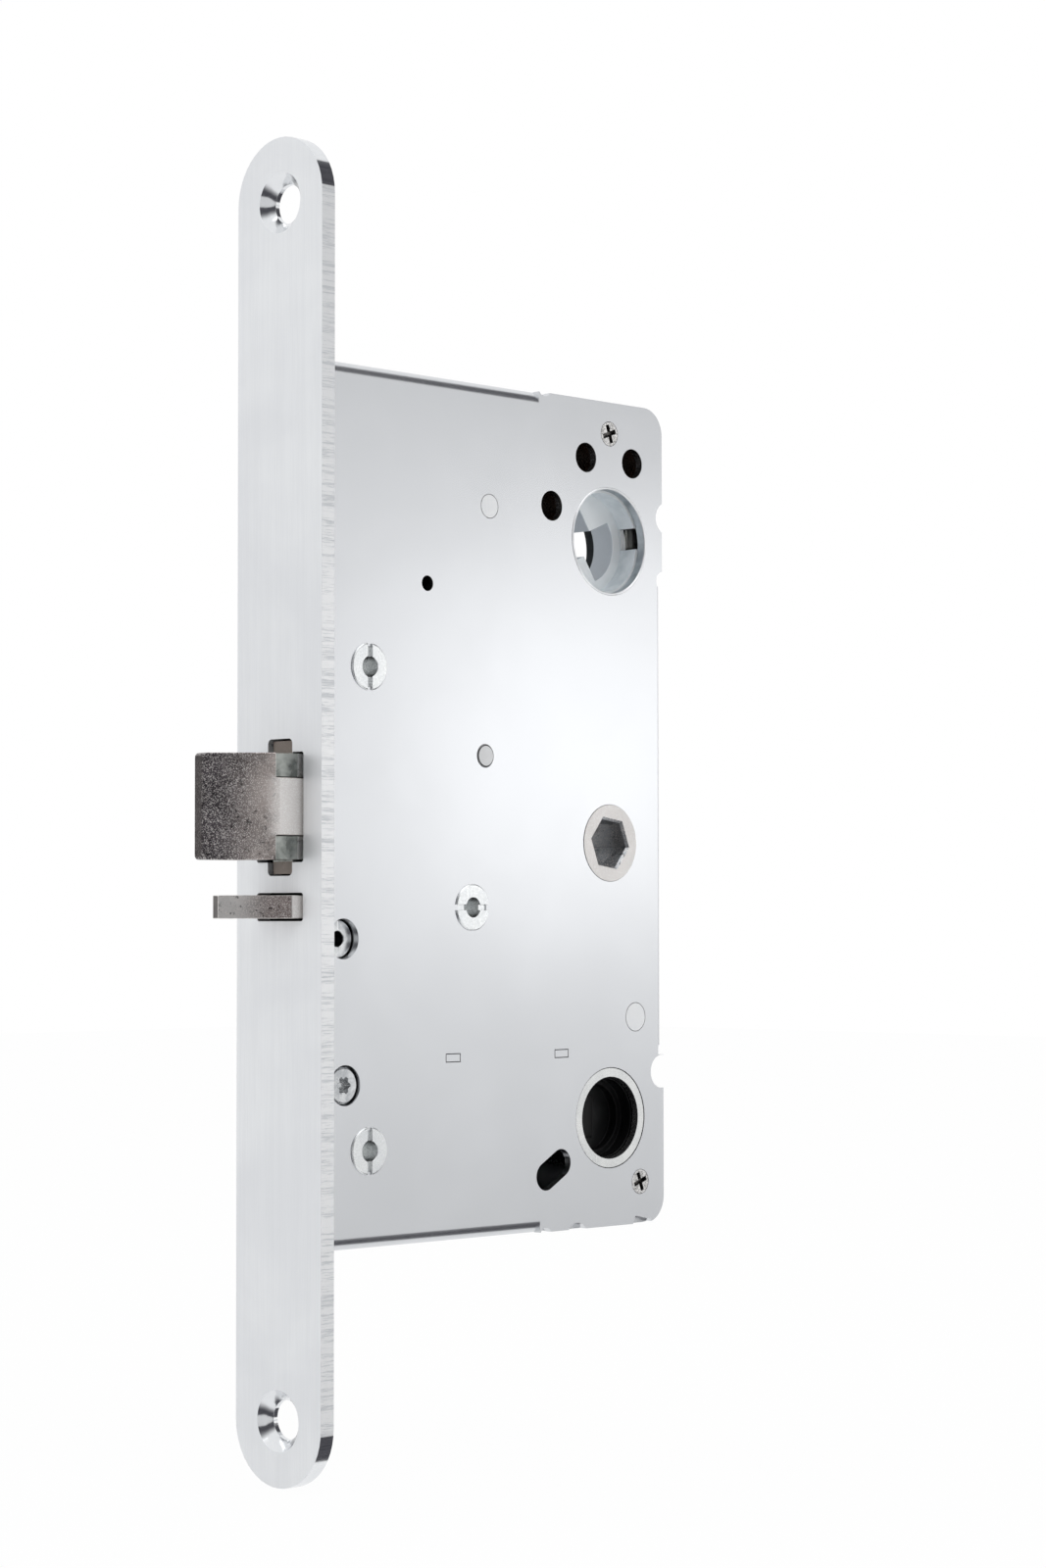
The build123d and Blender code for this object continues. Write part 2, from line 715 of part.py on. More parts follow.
def make_latch_yoke():
    """The fork that carries the head: two prongs, a block behind them and two wings in the slot's ears."""
    half = latch_height / 2 - running_gap
    side_view = box(-prong_reach, yoke_back, -half, half)
    side_view -= box(-prong_reach, yoke_mouth, -half + prong_height, half - prong_height)
    yoke = across(side_view, -yoke_width / 2, yoke_width / 2)
    near = -yoke_width / 2
    bevel = make_face(Polyline((-prong_reach, near), (-prong_reach, near + prong_bevel),
                               (prong_bevel_run - prong_reach, near), close=True))
    yoke -= Pos(0, 0, -half) * extrude(bevel, amount=2 * half)
    wing_half = ear_width / 2 - 2 * fit_gap
    wing_reach = latch_slot_height / 2 + ear_height - fit_gap
    wings = box(wing_front, wing_front + wing_length, half, wing_reach)
    wings += box(wing_front, wing_front + wing_length, -wing_reach, -half)
    yoke += across(wings, slot_shift - wing_half, slot_shift + wing_half)
    yoke -= across(box(tail_root, yoke_back, -tail_half_height, tail_half_height),
                   -tail_thickness / 2, tail_thickness / 2)
    yoke -= Pos(head_pin_x, 0, 0) * Cylinder(cross_pin_radius, latch_height)
    return yoke - across(disc(tail_pin_x, 0, cross_pin_radius), -yoke_width / 2, yoke_width / 2)


def make_latch_tail():
    """The flat bar behind the yoke, with the hook that the follower's arm draws back."""
    outline = Polyline((tail_root, -tail_half_height), (tail_right, -tail_half_height),
                       (tail_right, tail_head_bottom), (tail_lug_left, tail_head_bottom),
                       (tail_lug_left, tail_lug_bottom), (tail_lug_right, tail_lug_bottom),
                       (tail_lug_right, tail_head_top), (tail_leg_left, tail_head_top),
                       (tail_leg_left, tail_half_height), (tail_root, tail_half_height), close=True)
    shape = make_face(outline)
    inner = [v for v in shape.vertices() if v.X > tail_root + 1 and abs(v.X - tail_lug_left) > 0.1]
    shape = fillet(inner, tail_corner) - disc(tail_pin_x, 0, cross_pin_radius)
    return across(shape, -tail_thickness / 2, tail_thickness / 2)


def make_head_pin():
    return Pos(head_pin_x, 0, 0) * Cylinder(cross_pin_radius, latch_height - 2 * fit_gap)


def make_tail_pin():
    half = yoke_width / 2 - running_gap
    return across(disc(tail_pin_x, 0, cross_pin_radius), -half, half)


def make_trigger_bolt():
    """The small bolt: bevelled head, body, and a finger along the cover's side to the lever's foot."""
    half = trigger_width / 2
    plan = make_face(Polyline((-trigger_throw, half), (-trigger_throw, half - trigger_tip_flat),
                              (trigger_bevel_end, -half), (trigger_body_back, -half),
                              (trigger_body_back, half), close=True))
    low = trigger_z - trigger_height / 2
    bolt = Pos(0, 0, low) * extrude(plan, amount=trigger_height)
    finger = box(finger_start, trigger_body_back, low, finger_top)
    finger += box(finger_start, finger_end, finger_top - finger_height, finger_top)
    finger = fillet(finger.vertices().sort_by(Axis.X)[-2:], finger_corner)
    return bolt + across(finger, side_layer_near, side_layer_far)


def make_blocking_lever():
    """The lever on the pin: a foot below for the trigger and a tooth on the long arm above the latch."""
    hub = disc(lever_pin_x, lever_pin_z, lever_hub_radius)
    foot = disc(foot_rest_x, foot_rest_z, lever_foot_tip)
    elbow = disc(lever_elbow_x, lever_elbow_z, lever_elbow_radius)
    tooth = disc(lever_tooth_x, lever_tooth_z, lever_tooth_radius)
    shape = hull(disc(lever_pin_x, lever_pin_z, lever_foot_tip + 1), foot) + hub
    shape += hull(hub, elbow) + hull(elbow, tooth)
    shape -= disc(lever_pin_x, lever_pin_z, lever_pin_radius + running_gap)
    return across(shape, side_layer_near, side_layer_far)


def make_follower():
    """The spindle hub: bosses in both shells, the latch arm above and the spring arm behind."""
    follower = across(disc(backset, follower_z, follower_boss_radius), near_face - follower_proud,
                      far_face + follower_proud)
    follower += across(disc(backset, follower_z, follower_body_radius), -cavity_half + fit_gap,
                       cavity_half - fit_gap)
    rest = 90 + follower_turn / 2
    tip = polar(backset, follower_z, arm_radius, rest)
    arm = hull(disc(backset, follower_z, arm_root_radius), disc(*tip, arm_neck_radius))
    arm += disc(*tip, arm_tip_radius)
    arm += hull(disc(backset, follower_z, arm_root_radius),
                disc(*polar(backset, follower_z, spring_arm_radius, spring_arm_angle), spring_arm_tip))
    follower += across(arm, -tail_thickness / 2, tail_thickness / 2)
    hexagon = Pos(backset, follower_z) * RegularPolygon(hex_corner_radius, 6, rotation=hex_turn)
    follower -= across(hexagon, near_face - follower_proud, far_face + follower_proud)
    mouth = [edge for edge in follower.edges().filter_by(GeomType.LINE)
             if edge.center().Y < near_face and abs(edge.length - hex_corner_radius) < 0.01]
    return chamfer(mouth, hex_chamfer)


def make_latch_spring():
    length = spring_tab_x - yoke_back
    spring = coil(latch_spring_radius, length, latch_spring_turns)
    return Pos(yoke_back, 0, latch_spring_z) * Rot(0, 90, 0) * spring


def make_trigger_spring():
    length = middle_post_x - post_barrel_radius - trigger_body_back
    spring = coil(trigger_spring_radius, length, trigger_spring_turns)
    return Pos(trigger_body_back, 0, trigger_z) * Rot(0, 90, 0) * spring


def make_follower_spring():
    tip_z = polar(backset, follower_z, spring_arm_radius, spring_arm_angle)[1] - spring_arm_tip
    spring = coil(follower_spring_radius, tip_z - spring_seat_top, follower_spring_turns)
    return Pos(follower_spring_x, 0, spring_seat_top) * spring


def make_lever_spring():
    """A close coil on the pin beside the lever, inside the case."""
    length = (2 * spring_wire_radius + running_gap) * (lever_spring_turns + 1)
    spring = coil(lever_spring_radius, length, lever_spring_turns)
    return Pos(lever_pin_x, side_layer_far + fit_gap, lever_pin_z) * Rot(-90, 0, 0) * spring


pieces = {
    "forend": make_forend(),
    "forend_bracket": make_forend_bracket(),
    "forend_bush": make_forend_bush(),
    "forend_screw": make_forend_screw(),
    "case_pan": make_case_pan(),
    "cover_plate": make_cover_plate(),
    "upper_post": make_post(post_x, upper_post_z, True),
    "middle_post": make_post(middle_post_x, middle_post_z, False),
    "lower_post": make_post(post_x, lower_post_z, True),
    "cover_screws": make_cover_screws(),
    "screw_posts": make_screw_posts(),
    "fixing_sleeves": make_fixing_sleeves(),
    "case_rivets": make_case_rivets(),
    "lever_pin": make_lever_pin(),
    "guide_shelf": make_guide_shelf(),
    "slide_guides": make_slide_guides(),
    "upper_collar": make_collar(near_face - collar_proud, near_face + collar_depth),
    "upper_collar_far": make_collar(far_face + collar_proud, near_face + drum_floor_depth + running_gap),
    "detent_wire": make_detent_wire(),
    "lower_ring": make_ring(near_face + ring_sink, near_inside),
    "lower_ring_far": make_ring(far_inside, far_face - ring_sink),
    "latch_head": make_latch_head(),
    "latch_yoke": make_latch_yoke(),
    "latch_tail": make_latch_tail(),
    "head_pin": make_head_pin(),
    "tail_pin": make_tail_pin(),
    "latch_spring": make_latch_spring(),
    "trigger_bolt": make_trigger_bolt(),
    "trigger_spring": make_trigger_spring(),
    "blocking_lever": make_blocking_lever(),
    "lever_spring": make_lever_spring(),
    "follower": make_follower(),
    "follower_spring": make_follower_spring(),
    "key_drum": make_key_drum(),
    "key_slide": make_key_slide(),
    "lock_hub": make_lock_hub(),
    "lock_slide": make_lock_slide(),
}

os.makedirs("parts", exist_ok=True)
for name, piece in pieces.items():
    export_step(piece, f"parts/{name}.step")
    print(f"{name:18s} volume {piece.volume:9.1f} mm3")
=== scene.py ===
# %% [markdown]
# # A panic mortise lock, dressed in Blender
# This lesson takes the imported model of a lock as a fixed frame, and gives it the finishes and the small
# forms that the photograph shows. The frame is in metres and the lock's sizes are in millimetres, so one
# factor turns them round.

# %% Load the frame
import bpy
import json
import math
from mathutils import Matrix, Vector

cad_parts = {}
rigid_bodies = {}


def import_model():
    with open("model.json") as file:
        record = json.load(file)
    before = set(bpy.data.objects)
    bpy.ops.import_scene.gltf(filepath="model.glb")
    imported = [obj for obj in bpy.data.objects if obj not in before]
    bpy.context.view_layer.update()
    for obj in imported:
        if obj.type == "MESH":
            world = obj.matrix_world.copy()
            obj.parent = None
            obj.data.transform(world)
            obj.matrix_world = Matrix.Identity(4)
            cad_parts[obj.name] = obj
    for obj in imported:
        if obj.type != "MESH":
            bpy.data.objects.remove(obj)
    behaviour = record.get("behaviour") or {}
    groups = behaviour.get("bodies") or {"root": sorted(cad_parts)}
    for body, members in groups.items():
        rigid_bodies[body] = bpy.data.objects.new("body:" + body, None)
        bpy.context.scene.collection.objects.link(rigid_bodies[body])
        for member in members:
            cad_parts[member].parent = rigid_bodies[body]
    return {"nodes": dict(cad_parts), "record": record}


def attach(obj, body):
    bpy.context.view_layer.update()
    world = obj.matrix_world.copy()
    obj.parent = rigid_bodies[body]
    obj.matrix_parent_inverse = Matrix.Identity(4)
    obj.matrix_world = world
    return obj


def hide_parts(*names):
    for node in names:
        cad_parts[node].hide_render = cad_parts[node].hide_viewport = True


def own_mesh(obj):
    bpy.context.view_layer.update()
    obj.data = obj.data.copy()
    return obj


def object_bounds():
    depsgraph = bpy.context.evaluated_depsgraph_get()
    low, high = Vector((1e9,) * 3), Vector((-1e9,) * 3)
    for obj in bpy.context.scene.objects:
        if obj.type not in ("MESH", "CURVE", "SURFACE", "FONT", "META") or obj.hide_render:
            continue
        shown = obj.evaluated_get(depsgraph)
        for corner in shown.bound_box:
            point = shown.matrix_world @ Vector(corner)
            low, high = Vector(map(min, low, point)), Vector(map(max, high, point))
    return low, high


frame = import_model()
cad_low, cad_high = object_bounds()
scene = bpy.context.scene
MM = 0.001
print("CAD box in mm:", [round(v / MM, 1) for v in (*cad_low, *cad_high)])

# %% [markdown]
# ## Camera
# The camera stands where the photographer's stood: to the left of the lock, level with its middle and
# turned about 44 degrees, so that the narrow forend and the broad side both show. The picture is upright,
# so the lens is stated for its long side. The lens is long, which keeps the strip's edges nearly parallel.

# %% The photographer's place
camera_place = Vector((-394.80, -444.46, -20.09)) * MM
camera_forward = Vector((0.71519, 0.69775, 0.04064))
camera_up = Vector((-0.02823, -0.02926, 0.99917))
camera_right = camera_forward.cross(camera_up)
lens_length = 78.358
sensor_width = 36
nearest_seen = 0.01

bpy.ops.object.select_all(action="DESELECT")
bpy.ops.object.camera_add()
camera = bpy.context.object
camera.data.lens = lens_length
camera.data.sensor_width = sensor_width
camera.data.clip_start = nearest_seen
turn = Matrix((camera_right, camera_right.cross(camera_forward), -camera_forward)).transposed()
camera.matrix_world = Matrix.Translation(camera_place) @ turn.to_4x4()
scene.camera = camera
print("camera stands", round(camera_place.length / MM), "mm from the forend")

# %% [markdown]
# ## Light
# Bright metal shows its surroundings more than its own colour, so the room matters as much as the lamps.
# The plate's reflection looks past the lock to the right and front, where one small soft panel stands. It
# gives the broad highlight on the side plate. Two larger panels, one to the left and back and one above,
# light the rest.

# %% Lamps
scene.view_settings.view_transform = "Standard"


def make_panel(name, place, aim, width, height, power):
    bpy.ops.object.light_add(type="AREA", location=place)
    lamp = bpy.context.object
    lamp.name = name
    lamp.data.shape = "RECTANGLE"
    lamp.data.size = width
    lamp.data.size_y = height
    lamp.data.energy = power
    lamp.rotation_euler = (Vector(aim) - Vector(place)).to_track_quat("-Z", "Y").to_euler()


panel_reach = 0.45
plate_middle = Vector((66, -7.5, 14)) * MM
plate_view = (plate_middle - camera_place).normalized()
plate_bounce = Vector((plate_view.x, -plate_view.y, plate_view.z))
panel_place = plate_middle + panel_reach * plate_bounce
make_panel("panel_plate", panel_place, plate_middle, 0.09, 0.12, 0.034)
make_panel("panel_left", (-0.80, 0.10, 0.45), (0, 0, 0), 0.5, 0.5, 0.8)
make_panel("panel_top", (0.1, -0.35, 0.8), (0, 0, 0), 0.7, 0.7, 1.2)
print("plate panel at", [round(v, 2) for v in panel_place])

# %% [markdown]
# Small helpers keep the node trees short. The first makes one node, sets its options, and either sets each
# socket or links it, depending on what it is given. The others name the steps that come back everywhere.

# %% Node helpers


def add_node(tree, kind, sockets=None, **options):
    node = tree.nodes.new(kind)
    for option, value in options.items():
        setattr(node, option, value)
    for socket, value in (sockets or {}).items():
        if isinstance(value, bpy.types.NodeSocket):
            tree.links.new(value, node.inputs[socket])
        else:
            node.inputs[socket].default_value = value
    return node


def grey(red, green, blue):
    """A colour as it reads on a screen, 0 to 255, turned into the linear values that a shader wants."""
    return [((v / 255 + 0.055) / 1.055) ** 2.4 for v in (red, green, blue)] + [1]


def ramp(tree, value, low, high, out_low=0.0, out_high=1.0):
    """A smooth step from one value to another, while the input goes from low to high."""
    sockets = {"Value": value, "From Min": low, "From Max": high, "To Min": out_low, "To Max": out_high}
    return add_node(tree, "ShaderNodeMapRange", sockets, interpolation_type="SMOOTHSTEP").outputs[0]


def calculate(tree, operation, *values):
    return add_node(tree, "ShaderNodeMath", dict(enumerate(values)), operation=operation).outputs[0]


def measure(tree, operation, first, second):
    """One number from two vectors, such as their distance."""
    return add_node(tree, "ShaderNodeVectorMath", {0: first, 1: second}, operation=operation).outputs["Value"]


def split_axes(tree, vector):
    return add_node(tree, "ShaderNodeSeparateXYZ", {"Vector": vector}).outputs


def noise(tree, vector, **sockets):
    return add_node(tree, "ShaderNodeTexNoise", {"Vector": vector, **sockets}).outputs["Fac"]


def stretch(tree, vector, scale, rotation=(0.0, 0.0, 0.0)):
    sockets = {"Vector": vector, "Rotation": rotation, "Scale": scale}
    return add_node(tree, "ShaderNodeMapping", sockets).outputs[0]


def blend_value(tree, share, first, second):
    return add_node(tree, "ShaderNodeMix", {"Factor": share, 2: first, 3: second}).outputs[0]


def blend_colour(tree, share, first, second):
    sockets = {"Factor": share, 6: first, 7: second}
    return add_node(tree, "ShaderNodeMix", sockets, data_type="RGBA").outputs[2]


def mix_shaders(tree, share, first, second):
    return add_node(tree, "ShaderNodeMixShader", {0: share, 1: first, 2: second}).outputs[0]


# %% [markdown]
# The room is a light grey all round, with a dark ring about the camera and a dark gap above and below the
# panel that lights the case. These give the polished parts their dark lines, and the latch's bevel its
# darkness. The world has two looks: one lights the lock, and the other is the plain white that the camera
# sees behind it. Light Path tells the rays apart.

# %% Room
panel_gaps = ((0.715, -0.466, 0.522), (0.715, -0.515, -0.472))
room_light = (0.90, 0.91, 0.92, 1)
room_dark = (0.07, 0.07, 0.08, 1)
plain_white = (1, 1, 1, 1)

world = scene.world = bpy.data.worlds.new("studio")
world.use_nodes = True
room = world.node_tree
room.nodes.clear()
direction = add_node(room, "ShaderNodeTexCoord").outputs["Generated"]
towards_camera = measure(room, "DOT_PRODUCT", direction, -camera_forward)
behind_camera = ramp(room, towards_camera, 0.55, 0.88)
at_camera = ramp(room, towards_camera, 0.95, 0.965, 1.0, 0.25)
dark_share = calculate(room, "MULTIPLY", behind_camera, at_camera)
for gap in panel_gaps:
    inside = ramp(room, measure(room, "DOT_PRODUCT", direction, gap), 0.925, 0.935)
    dark_share = calculate(room, "MAXIMUM", dark_share, inside)
room_colour = blend_colour(room, dark_share, room_light, room_dark)
lit = add_node(room, "ShaderNodeBackground", {"Color": room_colour, "Strength": 1.0})
white = add_node(room, "ShaderNodeBackground", {"Color": plain_white, "Strength": 1.0})
rays = add_node(room, "ShaderNodeLightPath")
either = mix_shaders(room, rays.outputs["Is Camera Ray"], lit.outputs[0], white.outputs[0])
add_node(room, "ShaderNodeOutputWorld", {"Surface": either})

# %% [markdown]
# The floor is a white sheet under the strip's lower end. To the camera it is nearly as white as the
# background, with a small share of real shading that keeps the lock's shadow. Mirrored rays pass through it
# to the room.

# %% Floor
floor_size = 4
floor_gap = 0.1 * MM
glow_share = 0.97

bpy.ops.object.select_all(action="DESELECT")
bpy.ops.mesh.primitive_plane_add(size=floor_size, location=(0, 0, cad_low.z - floor_gap))
floor = bpy.context.object
floor.name = "floor"
sheet = bpy.data.materials.new("white_sheet")
sheet.use_nodes = True
tree = sheet.node_tree
paper = tree.nodes["Principled BSDF"]
paper.inputs["Base Color"].default_value = (0.86, 0.86, 0.86, 1)
paper.inputs["Roughness"].default_value = 0.9
glow = add_node(tree, "ShaderNodeEmission", {"Color": plain_white, "Strength": 1.0})
clear = add_node(tree, "ShaderNodeBsdfTransparent", {"Color": plain_white})
rays = add_node(tree, "ShaderNodeLightPath")
share = calculate(tree, "MULTIPLY", rays.outputs["Is Camera Ray"], glow_share)
mixed = mix_shaders(tree, share, paper.outputs[0], glow.outputs[0])
mirrored = mix_shaders(tree, rays.outputs["Is Glossy Ray"], mixed, clear.outputs[0])
tree.links.new(mirrored, tree.nodes["Material Output"].inputs["Surface"])
floor.data.materials.append(sheet)

# %% [markdown]
# ## Shared effects
# Four effects come back in many finishes, so each is built once as a node group: soft clouds, drawn lines,
# the speckle of sintered steel, and hair scratches.

# %% Group helper


def make_group(name, inputs, outputs):
    group = bpy.data.node_groups.new(name, "ShaderNodeTree")
    for label, kind, value in inputs:
        socket = group.interface.new_socket(label, in_out="INPUT", socket_type=kind)
        if value is not None:
            socket.default_value = value
    for label in outputs:
        group.interface.new_socket(label, in_out="OUTPUT", socket_type="NodeSocketFloat")
    start = group.nodes.new("NodeGroupInput")
    end = group.nodes.new("NodeGroupOutput")
    return group, start.outputs, end.inputs


vector_input = ("Vector", "NodeSocketVector", None)

# %% [markdown]
# Clouds are the slow changes of tone that rolled and plated sheet has, from handling and from the bath. A
# noise with few octaves is enough.

# %% Clouds group
clouds, start, end = make_group("soft_clouds", [vector_input, ("Scale", "NodeSocketFloat", 30.0)], ["Clouds"])
drift = noise(clouds, start["Vector"], Scale=start["Scale"], Detail=3.0, Roughness=0.55, Distortion=0.4)
clouds.links.new(ramp(clouds, drift, 0.3, 0.7), end["Clouds"])

# %% [markdown]
# Drawn lines come from grinding or rolling along one direction. The material stretches its coordinates
# first, and the group lays a coarse and a fine noise over each other on them.

# %% Lines group
lines, start, end = make_group("drawn_lines", [vector_input], ["Lines"])
coarse = noise(lines, start["Vector"], Scale=0.35, Detail=2.0)
fine = noise(lines, start["Vector"], Scale=1.6, Detail=3.0, Roughness=0.7)
both = blend_value(lines, 0.6, coarse, fine)
lines.links.new(ramp(lines, both, 0.36, 0.64), end["Lines"])

# %% [markdown]
# Sintered steel is pressed from powder. Its skin is a patchwork of grains, some bright and some dark, with
# open pores. Voronoi cells give each grain its own random tone.

# %% Speckle group
speckle, start, end = make_group("sinter_speckle", [vector_input, ("Scale", "NodeSocketFloat", 2600.0)],
                                 ["Flecks", "Pores", "Height"])
grains = add_node(speckle, "ShaderNodeTexVoronoi", {"Vector": start["Vector"], "Scale": start["Scale"],
                  "Randomness": 1.0})
grain_tone = add_node(speckle, "ShaderNodeSeparateColor", {"Color": grains.outputs["Color"]})
mottle = noise(speckle, start["Vector"], Scale=900.0, Detail=4.0, Roughness=0.7)
height = calculate(speckle, "ADD", grains.outputs["Distance"], mottle)
speckle.links.new(ramp(speckle, grain_tone.outputs[0], 0.62, 0.95), end["Flecks"])
speckle.links.new(ramp(speckle, mottle, 0.56, 0.68), end["Pores"])
speckle.links.new(height, end["Height"])

# %% [markdown]
# Hair scratches are the few thin marks of handling. A noise that is squeezed hard in one direction, and
# kept only where it is strongest, leaves short hairs. Two such noises lean different ways.

# %% Scratches group
scratches, start, end = make_group("hair_scratches", [vector_input], ["Scratches"])
leaning = []
for angle in (0.5, -0.9):
    turned = stretch(scratches, start["Vector"], (1500.0, 60.0, 60.0), (0.0, angle, 0.0))
    hair = noise(scratches, turned, Scale=1.0, Detail=1.0)
    leaning.append(ramp(scratches, hair, 0.70, 0.76))
scratches.links.new(calculate(scratches, "MAXIMUM", *leaning), end["Scratches"])

# %% [markdown]
# ## Finishes
# Each finish is a Principled BSDF whose colour, roughness and bump are driven by these effects. The first
# helper below starts a material and hands back its shader and its object coordinates.

# %% Material helpers


def start_finish(name, metallic):
    material = bpy.data.materials.new(name)
    material.use_nodes = True
    tree = material.node_tree
    shader = tree.nodes["Principled BSDF"]
    shader.inputs["Metallic"].default_value = metallic
    place = add_node(tree, "ShaderNodeTexCoord").outputs["Object"]
    return material, tree, shader, place


def facing_axes(tree):
    """The direction in which the surface looks, split into its axes."""
    return split_axes(tree, tree.nodes["Texture Coordinate"].outputs["Normal"])


def use_group(tree, group, **sockets):
    return add_node(tree, "ShaderNodeGroup", sockets, node_tree=group).outputs


def cloud_share(tree, place, scale):
    return use_group(tree, clouds, Vector=place, Scale=scale)["Clouds"]


def drive(tree, shader, colour, rough):
    tree.links.new(colour, shader.inputs["Base Color"])
    tree.links.new(rough, shader.inputs["Roughness"])


def bump(tree, shader, height, strength, distance):
    node = add_node(tree, "ShaderNodeBump", {"Height": height, "Strength": strength, "Distance": distance})
    tree.links.new(node.outputs[0], shader.inputs["Normal"])


# %% [markdown]
# The forend is ground strip: fine upright lines on its face, and coarse cross lines on its narrow edge,
# where it was parted off. The edge is told from the face by the direction in which the surface looks. The
# countersinks and the round ends' walls are polished.

# %% Forend finish
strip_metallic = 0.6
screw_hole_height = 106.0 * MM
sink_radius = 5.65 * MM
sink_fade = 0.10 * MM
round_end_start = 107.5 * MM
round_end_fade = 0.3 * MM

forend_finish, tree, shader, place = start_finish("ground_strip", strip_metallic)
axes = split_axes(tree, place)
facing = facing_axes(tree)
across = calculate(tree, "ABSOLUTE", facing["X"])
sideways = calculate(tree, "ABSOLUTE", facing["Y"])
face_lines = use_group(tree, lines, Vector=stretch(tree, place, (2500.0, 2500.0, 60.0)))["Lines"]
edge_lines = use_group(tree, lines, Vector=stretch(tree, place, (160.0, 160.0, 4600.0)))["Lines"]
on_edge = ramp(tree, sideways, 0.75, 0.95)
grain = blend_value(tree, on_edge, face_lines, edge_lines)
face_tone = blend_colour(tree, cloud_share(tree, place, 38.0), grey(233, 234, 236), grey(241, 242, 243))
lined = blend_colour(tree, ramp(tree, face_lines, 0, 1, 0.75, 1.0), grey(226, 227, 229), face_tone)
cut = blend_colour(tree, ramp(tree, edge_lines, 0.1, 0.5), grey(222, 224, 226), grey(254, 254, 254))
# Painted shade: the narrow edge is painted darker towards its upper end.
upper_edge_shade = ramp(tree, axes["Z"], 20 * MM, 95 * MM, 0, 0.3)
edge_tone = blend_colour(tree, upper_edge_shade, cut, grey(206, 208, 210))
toned = blend_colour(tree, on_edge, lined, edge_tone)
# Painted dark reflection: the faces that look to the far side and the front are painted dark grey, a dark
# line along the strip's far border.
far_front_shade = calculate(tree, "MULTIPLY", ramp(tree, facing["Y"], 0.3, 0.5),
                      ramp(tree, facing["X"], -0.3, -0.5))
strip_colour = blend_colour(tree, far_front_shade, toned, grey(120, 122, 124))

height = calculate(tree, "ABSOLUTE", axes["Z"])
hole_place = add_node(tree, "ShaderNodeCombineXYZ", {"X": 0.0, "Y": axes["Y"], "Z": height}).outputs[0]
to_hole = measure(tree, "DISTANCE", hole_place, (0, 0, screw_hole_height))
near_hole = ramp(tree, to_hole, sink_radius + sink_fade, sink_radius)
in_sink = calculate(tree, "MULTIPLY", near_hole, ramp(tree, across, 0.95, 0.85))
round_end = ramp(tree, height, round_end_start, round_end_start + round_end_fade)
end_wall = calculate(tree, "MULTIPLY", ramp(tree, across, 0.3, 0.1), round_end)
polished = calculate(tree, "MAXIMUM", in_sink, end_wall)
drive(tree, shader, strip_colour, blend_value(tree, polished, ramp(tree, grain, 0, 1, 0.44, 0.38), 0.13))
tree.links.new(blend_value(tree, polished, strip_metallic, 1.0), shader.inputs["Metallic"])
bump(tree, shader, grain, 0.03, 0.02 * MM)

# %% [markdown]
# The case is thin sheet with bright zinc on it. It is smooth, so its look is nearly all reflection, with
# only the slightest clouds.

# %% Sheet finish
sheet_cloud_scale = 35.0

sheet_finish, tree, shader, place = start_finish("bright_zinc", 1.0)
patches = cloud_share(tree, place, sheet_cloud_scale)
drive(tree, shader, blend_colour(tree, patches, grey(221, 222, 224), grey(226, 227, 229)),
      ramp(tree, patches, 0, 1, 0.268, 0.273))

# %% [markdown]
# The pan is the same sheet. Only its cut rim, which looks to the near side beside the cover's rolled edges,
# is painted dark, painted shade in the narrow gap there.

# %% Pan finish
rim_end = 53 * MM
rim_fade = 2 * MM

pan_finish, tree, shader, place = start_finish("zinc_with_shaded_rim", 1.0)
patches = cloud_share(tree, place, sheet_cloud_scale)
towards = calculate(tree, "MULTIPLY", facing_axes(tree)["Y"], -1.0)
in_front = ramp(tree, split_axes(tree, place)["X"], rim_end, rim_end - rim_fade)
# Painted shade: the rim that looks to the near side, in front of rim_end, is painted dark.
rim = calculate(tree, "MULTIPLY", ramp(tree, towards, 0.5, 0.9), in_front)
tone = blend_colour(tree, patches, grey(210, 211, 213), grey(215, 216, 218))
drive(tree, shader, blend_colour(tree, rim, tone, grey(96, 98, 101)), ramp(tree, patches, 0, 1, 0.28, 0.34))

# %% [markdown]
# Latch, trigger and follower are sintered steel: a warm dark grey with fine bright flecks and dark pores.
# The faces that look to the sides rub in the slot or under the handle, so they are burnished, and they are
# painted nearly white as a painted highlight. The tone also drifts along the bolt, a painted reflection, and
# each piece drifts in its own way, so one function makes the three finishes. On the latch, the painted
# highlight also fades into the bevel from a given start on, between the yoke's prongs. The other two have
# no such fade, so theirs starts beyond the lock. The tip face is painted dark, painted shade.

# %% Sintered finishes
grain_scale = 8500.0
highlight_fade_length = 2.4
prong_gap_edge = 5.6 * MM
prong_gap_fade = 1.0 * MM
no_highlight_fade = 100


